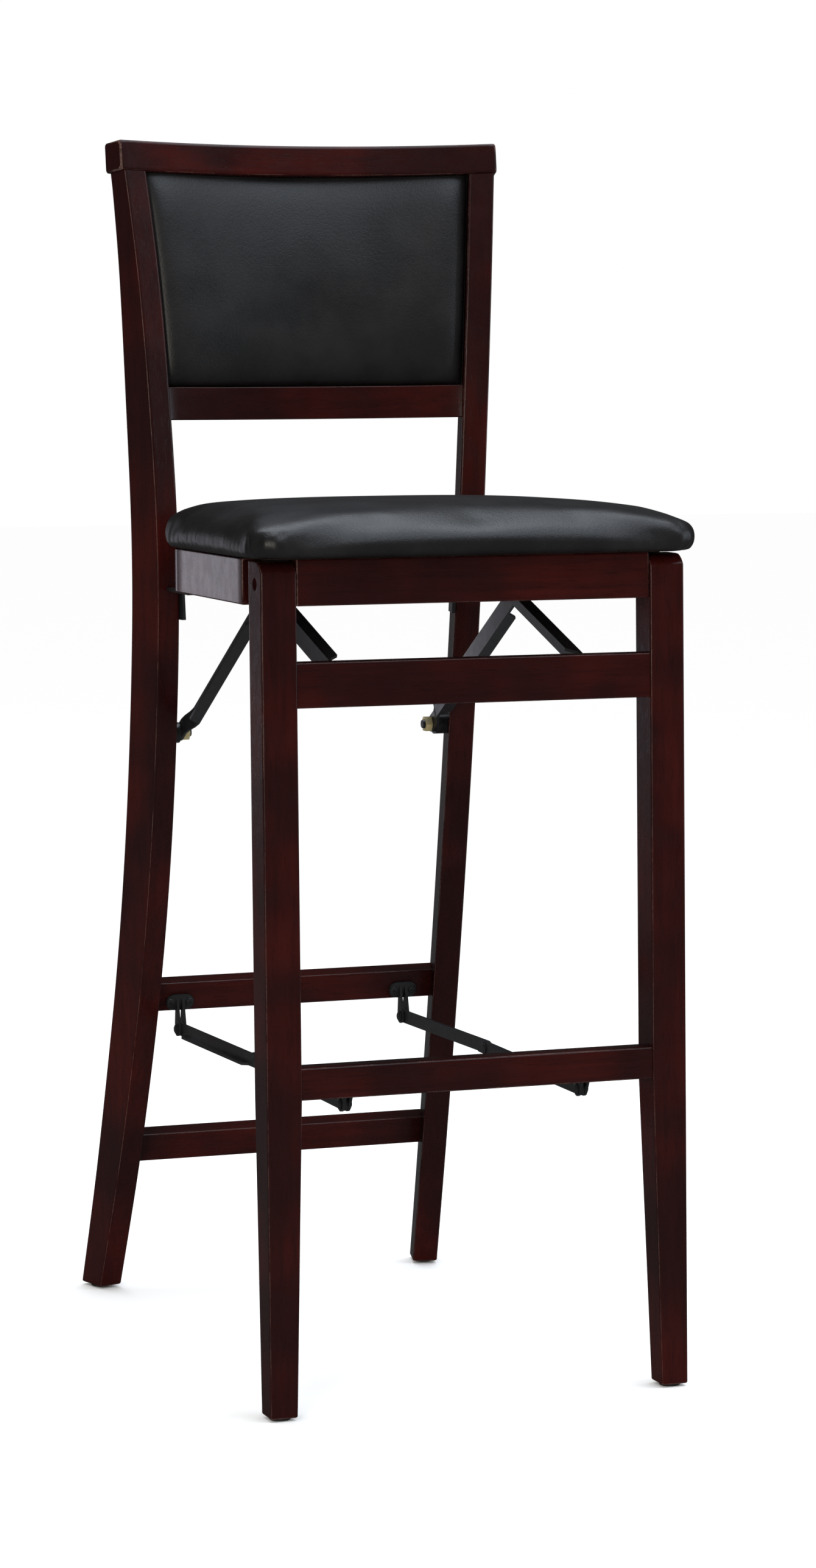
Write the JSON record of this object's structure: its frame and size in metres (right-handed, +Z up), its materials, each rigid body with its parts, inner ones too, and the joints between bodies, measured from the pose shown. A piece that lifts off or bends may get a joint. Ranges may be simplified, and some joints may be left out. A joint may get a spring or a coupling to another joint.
{
  "type": "folding bar stool",
  "caption": "Wooden folding bar stool with a padded barrel back, padded tipping seat, footrest rail and steel folding links.",
  "frame": {"origin": "on the floor, under the middle of the stool's width and depth", "axes": "+Z up, -Y the way the sitter faces, +X to the right when looking at the front"},
  "size_m": [0.402, 0.5916, 1.0748],
  "materials": {
    "dark_wood": "satin clear coat over an espresso stain",
    "black_vinyl": "fine leather grain, soft sheen",
    "plywood": "bare matt",
    "black_steel": "satin black paint",
    "yellow_zinc": "yellow zinc plate",
    "black_nylon": "matt"
  },
  "bodies": {
    "back_frame": {"back_post_left": "dark_wood", "back_post_right": "dark_wood", "top_rail": "dark_wood", "lower_back_rail": "dark_wood", "back_board": "plywood", "back_pad": "black_vinyl", "rear_upper_stretcher": "dark_wood", "rear_lower_stretcher": "dark_wood", "seat_rest_left": "black_steel", "seat_rest_right": "black_steel", "rear_link_stud_left": "black_steel", "rear_link_stud_right": "black_steel", "rear_link_nut_left": "yellow_zinc", "rear_link_nut_right": "yellow_zinc", "rear_stay_bracket_left": "black_steel", "rear_stay_bracket_right": "black_steel", "rear_bracket_screw_inner_left": "black_steel", "rear_bracket_screw_inner_right": "black_steel", "rear_bracket_screw_outer_left": "black_steel", "rear_bracket_screw_outer_right": "black_steel", "rear_stay_pin_left": "black_steel", "rear_stay_pin_right": "black_steel", "rear_glide_left": "black_nylon", "rear_glide_right": "black_nylon"},
    "upper_rear_links": {"upper_rear_link_left": "black_steel", "upper_rear_link_right": "black_steel", "upper_knee_rivet_left": "black_steel", "upper_knee_rivet_right": "black_steel"},
    "upper_front_links": {"upper_front_link_left": "black_steel", "upper_front_link_right": "black_steel"},
    "front_frame": {"front_leg_left": "dark_wood", "front_leg_right": "dark_wood", "front_upper_stretcher": "dark_wood", "footrest_rail": "dark_wood", "front_link_bracket_left": "black_steel", "front_link_bracket_right": "black_steel", "front_link_pin_left": "black_steel", "front_link_pin_right": "black_steel", "front_stay_bracket_left": "black_steel", "front_stay_bracket_right": "black_steel", "front_bracket_screw_left": "black_steel", "front_bracket_screw_right": "black_steel", "front_stay_pin_left": "black_steel", "front_stay_pin_right": "black_steel", "front_glide_left": "black_nylon", "front_glide_right": "black_nylon"},
    "seat_frame": {"seat_cushion": "black_vinyl", "seat_board": "plywood", "seat_front_apron": "dark_wood", "seat_rear_apron": "dark_wood", "seat_side_apron_left": "dark_wood", "seat_side_apron_right": "dark_wood", "seat_bolt_left": "black_steel", "seat_bolt_right": "black_steel"},
    "lower_rear_stays": {"rear_stay_left": "black_steel", "rear_stay_right": "black_steel"},
    "lower_front_stays": {"front_stay_left": "black_steel", "front_stay_right": "black_steel", "stay_knee_pin_left": "black_steel", "stay_knee_pin_right": "black_steel"}
  },
  "joints": [
    {"name": "frame_fold", "type": "hinge", "parent": "back_frame", "child": "upper_rear_links", "pos_m": [0, 0.14915, 0.5375], "axis": [-1, 0, 0], "range_deg": [0, 50.56]},
    {"name": "upper_knee", "type": "hinge", "parent": "upper_rear_links", "child": "upper_front_links", "pos_m": [0, -0.07385, 0.6735], "axis": [1, 0, 0], "range_deg": [0, 104.86]},
    {"name": "front_frame_turn", "type": "hinge", "parent": "upper_front_links", "child": "front_frame", "pos_m": [0, -0.25035, 0.6173], "axis": [-1, 0, 0], "range_deg": [0, 41.3]},
    {"name": "seat_tip", "type": "hinge", "parent": "front_frame", "child": "seat_frame", "pos_m": [0, -0.25983, 0.6987], "axis": [1, 0, 0], "range_deg": [0, 77]},
    {"name": "rear_stay_swing", "type": "hinge", "parent": "back_frame", "child": "lower_rear_stays", "pos_m": [0, 0.19115, 0.256], "axis": [1, 0, 0], "range_deg": [0, 73.29]},
    {"name": "front_stay_swing", "type": "hinge", "parent": "front_frame", "child": "lower_front_stays", "pos_m": [0, -0.24935, 0.2576], "axis": [-1, 0, 0], "range_deg": [0, 106.45]}
  ],
  "couplings": [
    {"joint": "upper_knee", "follows": "frame_fold", "ratio": 2.0737},
    {"joint": "front_frame_turn", "follows": "frame_fold", "ratio": 0.81664},
    {"joint": "seat_tip", "follows": "frame_fold", "ratio": 1.5228},
    {"joint": "rear_stay_swing", "follows": "frame_fold", "ratio": 1.4493},
    {"joint": "front_stay_swing", "follows": "frame_fold", "ratio": 2.1052}
  ]
}
